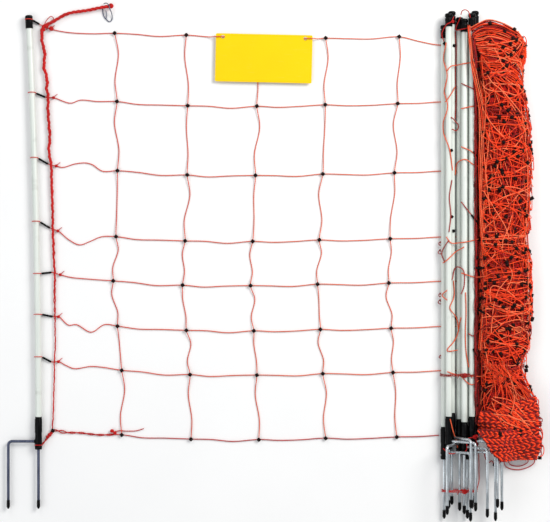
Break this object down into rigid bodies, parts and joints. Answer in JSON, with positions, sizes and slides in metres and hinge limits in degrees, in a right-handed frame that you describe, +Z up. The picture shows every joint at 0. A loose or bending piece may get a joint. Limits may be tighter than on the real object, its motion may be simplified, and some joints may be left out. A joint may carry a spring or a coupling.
{
  "type": "electric dog netting",
  "caption": "Portable electric dog netting, part unrolled and lying flat, with white push-in posts, orange conductor net, bare yellow plate and a folded bundle of spare net and posts.",
  "frame": {"origin": "middle of the footprint, on the floor that the netting lies on", "axes": "+X along the fence from the end post to the folded bundle, +Y up the posts, +Z up from the floor"},
  "size_m": [1.1336, 1.0942, 0.0747],
  "materials": {
    "post_tube": "satin off-white glass-fibre and plastic tube",
    "black_plastic": "moulded black plastic",
    "spike_steel": "zinc-plated steel rod",
    "net_cord": "twisted orange polywire with fine metal strands",
    "red_cord": "twisted red cord",
    "plate": "bare yellow plastic sheet"
  },
  "bodies": {
    "root": {"end_post_tube": "post_tube", "end_post_cap": "black_plastic", "end_post_foot": "black_plastic", "end_post_spike": "spike_steel", "end_post_prong_tip": "black_plastic", "end_post_spur_tip": "black_plastic", "bundle_post_1_tube": "post_tube", "bundle_post_1_cap": "black_plastic", "bundle_post_1_foot": "black_plastic", "bundle_post_1_spike": "spike_steel", "bundle_post_2_tube": "post_tube", "bundle_post_2_cap": "black_plastic", "bundle_post_2_foot": "black_plastic", "bundle_post_2_spike": "spike_steel", "bundle_post_3_tube": "post_tube", "bundle_post_3_cap": "black_plastic", "bundle_post_3_foot": "black_plastic", "bundle_post_3_spike": "spike_steel", "bundle_post_4_tube": "post_tube", "bundle_post_4_cap": "black_plastic", "bundle_post_4_foot": "black_plastic", "bundle_post_4_spike": "spike_steel", "bundle_post_5_tube": "post_tube", "bundle_post_5_cap": "black_plastic", "bundle_post_5_foot": "black_plastic", "bundle_post_5_spike": "spike_steel", "bundle_post_6_tube": "post_tube", "bundle_post_6_cap": "black_plastic", "bundle_post_6_foot": "black_plastic", "bundle_post_6_spike": "spike_steel", "bundle_post_7_tube": "post_tube", "bundle_post_7_cap": "black_plastic", "bundle_post_7_foot": "black_plastic", "bundle_post_7_spike": "spike_steel", "bundle_post_8_tube": "post_tube", "bundle_post_8_cap": "black_plastic", "bundle_post_8_foot": "black_plastic", "bundle_post_8_spike": "spike_steel", "folded_net": "net_cord", "sign_plate": "plate", "strand_1": "net_cord", "strand_2": "net_cord", "strand_3": "net_cord", "strand_4": "net_cord", "strand_5": "net_cord", "strand_6": "net_cord", "strand_7": "net_cord", "strand_8": "net_cord", "upright_1": "net_cord", "upright_2": "net_cord", "upright_3": "net_cord", "upright_4": "net_cord", "upright_5": "net_cord", "edge_cord": "red_cord", "bundle_tie": "red_cord", "spike_tie": "red_cord", "lead_cord": "red_cord", "lead_clip": "spike_steel"}
  },
  "joints": []
}
